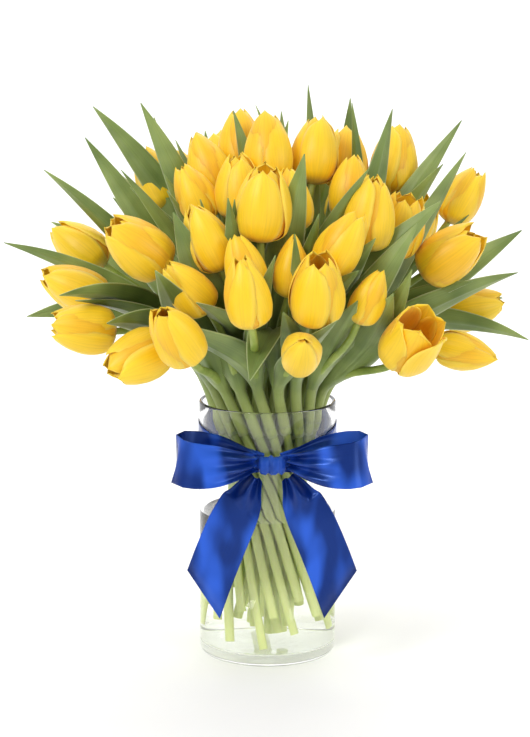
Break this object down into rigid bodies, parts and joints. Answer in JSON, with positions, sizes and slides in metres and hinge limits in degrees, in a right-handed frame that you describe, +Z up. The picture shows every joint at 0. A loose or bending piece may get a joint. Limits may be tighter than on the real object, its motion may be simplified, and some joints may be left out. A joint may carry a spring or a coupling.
{
  "type": "bunch of tulips",
  "caption": "Bunch of yellow tulips with grey-green leaves, fanned out of a straight clear glass vase of water tied with a blue satin ribbon bow.",
  "frame": {"origin": "centre of the vase's underside", "axes": "+Z up, the bow and the front of the bunch face -Y, +X to the right seen from the front"},
  "size_m": [0.4137, 0.3854, 0.4577],
  "materials": {
    "glass": "clear polished glass",
    "water": "clear water, faintly green",
    "ribbon": "royal blue satin",
    "tulip": "fresh matt petals, yellow, with grey-green leaves and pale green stems"
  },
  "bodies": {
    "root": {"glass_vase": "glass", "water": "water", "ribbon_band": "ribbon", "ribbon_knot": "ribbon", "ribbon_loop_left": "ribbon", "ribbon_loop_right": "ribbon", "ribbon_tail_left": "ribbon", "ribbon_tail_right": "ribbon", "tulip_01": "tulip", "tulip_02": "tulip", "tulip_03": "tulip", "tulip_04": "tulip", "tulip_05": "tulip", "tulip_06": "tulip", "tulip_07": "tulip", "tulip_08": "tulip", "tulip_09": "tulip", "tulip_10": "tulip", "tulip_11": "tulip", "tulip_12": "tulip", "tulip_13": "tulip", "tulip_14": "tulip", "tulip_15": "tulip", "tulip_16": "tulip", "tulip_17": "tulip", "tulip_18": "tulip", "tulip_19": "tulip", "tulip_20": "tulip", "tulip_21": "tulip", "tulip_22": "tulip", "tulip_23": "tulip", "tulip_24": "tulip", "tulip_25": "tulip", "tulip_26": "tulip", "tulip_27": "tulip", "tulip_28": "tulip", "tulip_29": "tulip", "tulip_30": "tulip", "tulip_31": "tulip", "tulip_32": "tulip", "tulip_33": "tulip", "tulip_34": "tulip", "tulip_35": "tulip", "tulip_36": "tulip", "tulip_37": "tulip", "tulip_38": "tulip", "tulip_39": "tulip", "tulip_40": "tulip", "tulip_41": "tulip", "tulip_42": "tulip", "tulip_43": "tulip", "tulip_44": "tulip", "tulip_45": "tulip", "tulip_46": "tulip", "tulip_47": "tulip", "tulip_48": "tulip"}
  },
  "joints": []
}
